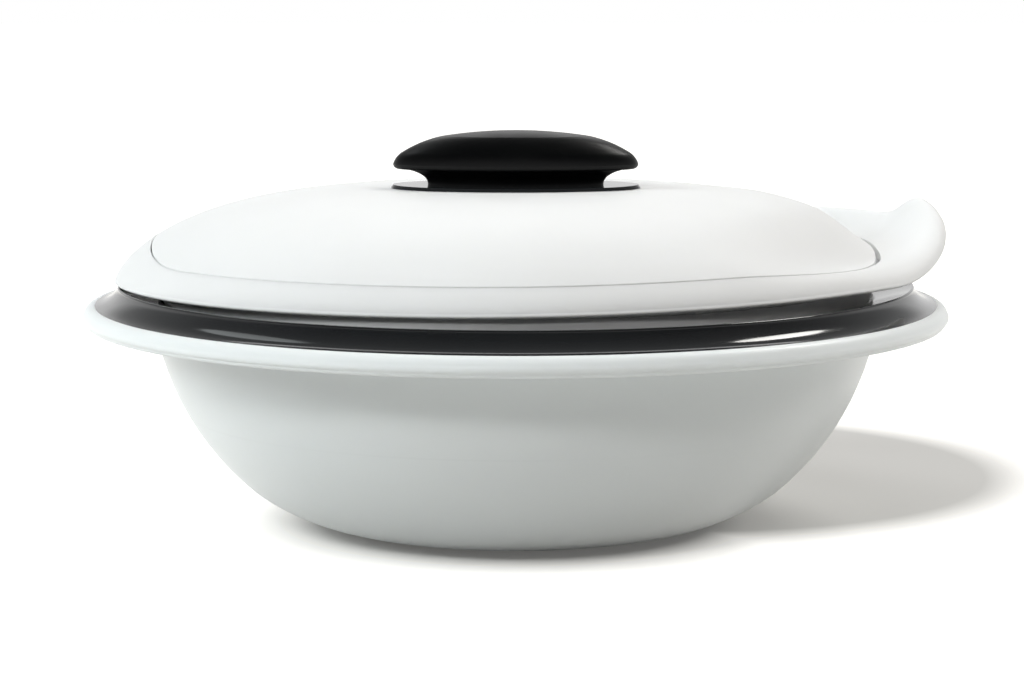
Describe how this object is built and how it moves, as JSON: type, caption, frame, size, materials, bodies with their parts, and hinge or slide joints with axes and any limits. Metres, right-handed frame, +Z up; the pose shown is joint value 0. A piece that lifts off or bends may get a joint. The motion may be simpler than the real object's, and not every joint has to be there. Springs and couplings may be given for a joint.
{
  "type": "insulated chapati casserole",
  "caption": "Round insulated serving bowl with a dark collar and a leaf-shaped lift-off lid with a raised tail and a boat-shaped knob.",
  "frame": {"origin": "middle of the foot's underside, on the surface the bowl stands on", "axes": "+Z up, +X along the leaf towards its raised tail, -Y towards the viewer of the picture"},
  "size_m": [0.2799, 0.28, 0.1276],
  "materials": {
    "white_shell": "satin",
    "dark_gloss": "gloss",
    "dark_soft": "matte",
    "liner_steel": "brushed",
    "foam": "matte",
    "screw_steel": "zinc"
  },
  "bodies": {
    "bowl": {"outer_bowl": "white_shell", "foam_plug": "white_shell", "bowl_insulation": "foam", "steel_liner": "liner_steel", "collar_ring": "dark_gloss"},
    "lid": {"under_pan": "white_shell", "lid_insulation": "foam", "leaf_cover": "white_shell", "dome_panel": "white_shell", "knob_plate": "dark_gloss", "knob_stem": "dark_soft", "knob_grip": "dark_soft", "knob_screws": "screw_steel", "knob_washers": "screw_steel"}
  },
  "joints": [
    {"name": "lid_lift", "type": "slide", "parent": "bowl", "child": "lid", "axis": [0, 0, 1], "range_m": [0, 0.15]}
  ]
}
